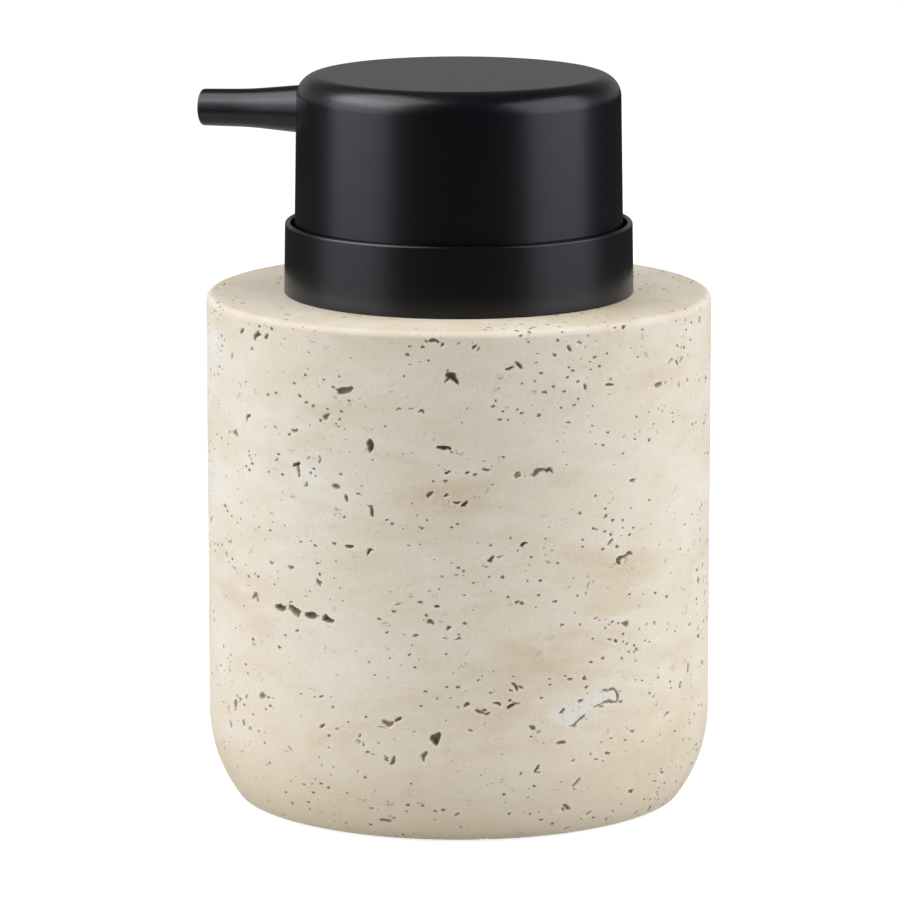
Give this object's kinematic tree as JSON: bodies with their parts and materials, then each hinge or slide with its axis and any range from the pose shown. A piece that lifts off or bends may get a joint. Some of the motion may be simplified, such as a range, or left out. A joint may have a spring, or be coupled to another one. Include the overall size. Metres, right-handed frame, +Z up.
{
  "type": "soap pump dispenser",
  "caption": "Cylindrical travertine soap dispenser with a rounded foot, a pull-out lotion pump, a round black press knob with a short tapered spout, and an inner bottle.",
  "frame": {"origin": "centre of the foot pad's underside, on the table", "axes": "+Z up along the pump's axis; the spout points along -X at rest"},
  "size_m": [0.0881, 0.085, 0.1227],
  "materials": {
    "travertine": "honed, unfilled travertine with open pits in level bands",
    "black_plastic": "satin moulded ABS",
    "plug_plastic": "plain moulded black polypropylene",
    "bottle_plastic": "blow-moulded natural polyethylene",
    "pump_plastic": "moulded natural polypropylene",
    "piston_plastic": "soft moulded polyethylene",
    "silicone": "translucent grey silicone",
    "pad_foam": "fine closed-cell EVA foam",
    "spring_steel": "drawn stainless wire",
    "ball_steel": "ground stainless steel"
  },
  "bodies": {
    "vessel": {"stone_body": "travertine", "inner_bottle": "bottle_plastic", "foot_pad": "pad_foam"},
    "pump_unit": {"collar": "black_plastic", "closure_plug": "plug_plastic", "upper_plug_seal": "silicone", "lower_plug_seal": "silicone", "housing_gasket": "silicone", "pump_housing": "pump_plastic", "stem_guide": "pump_plastic", "spring_seat": "pump_plastic", "return_spring": "spring_steel", "dip_tube": "pump_plastic"},
    "inlet_valve": {"inlet_ball": "ball_steel"},
    "plunger": {"plunger_stem": "pump_plastic", "piston": "piston_plastic", "piston_retainer": "pump_plastic", "valve_cap": "pump_plastic", "stem_seal": "silicone"},
    "outlet_valve": {"outlet_ball": "ball_steel"},
    "head": {"knob_shell": "black_plastic", "knob_core": "plug_plastic", "spout": "black_plastic"}
  },
  "joints": [
    {"name": "pump_lift_out", "type": "slide", "parent": "vessel", "child": "pump_unit", "axis": [0, 0, 1], "range_m": [0, 0.1]},
    {"name": "inlet_ball_lift", "type": "slide", "parent": "pump_unit", "child": "inlet_valve", "axis": [0, 0, 1], "range_m": [0, 0.0015]},
    {"name": "pump_press", "type": "slide", "parent": "pump_unit", "child": "plunger", "axis": [0, 0, -1], "range_m": [0, 0.0085], "stiffness_N_per_m": 300, "springref_m": -0.006, "deforming": ["return_spring"]},
    {"name": "outlet_ball_lift", "type": "slide", "parent": "plunger", "child": "outlet_valve", "axis": [0, 0, 1], "range_m": [0, 0.0012]},
    {"name": "spout_swivel", "type": "hinge", "parent": "plunger", "child": "head", "pos_m": [0, 0, 0.11], "axis": [0, 0, 1], "continuous": true}
  ]
}
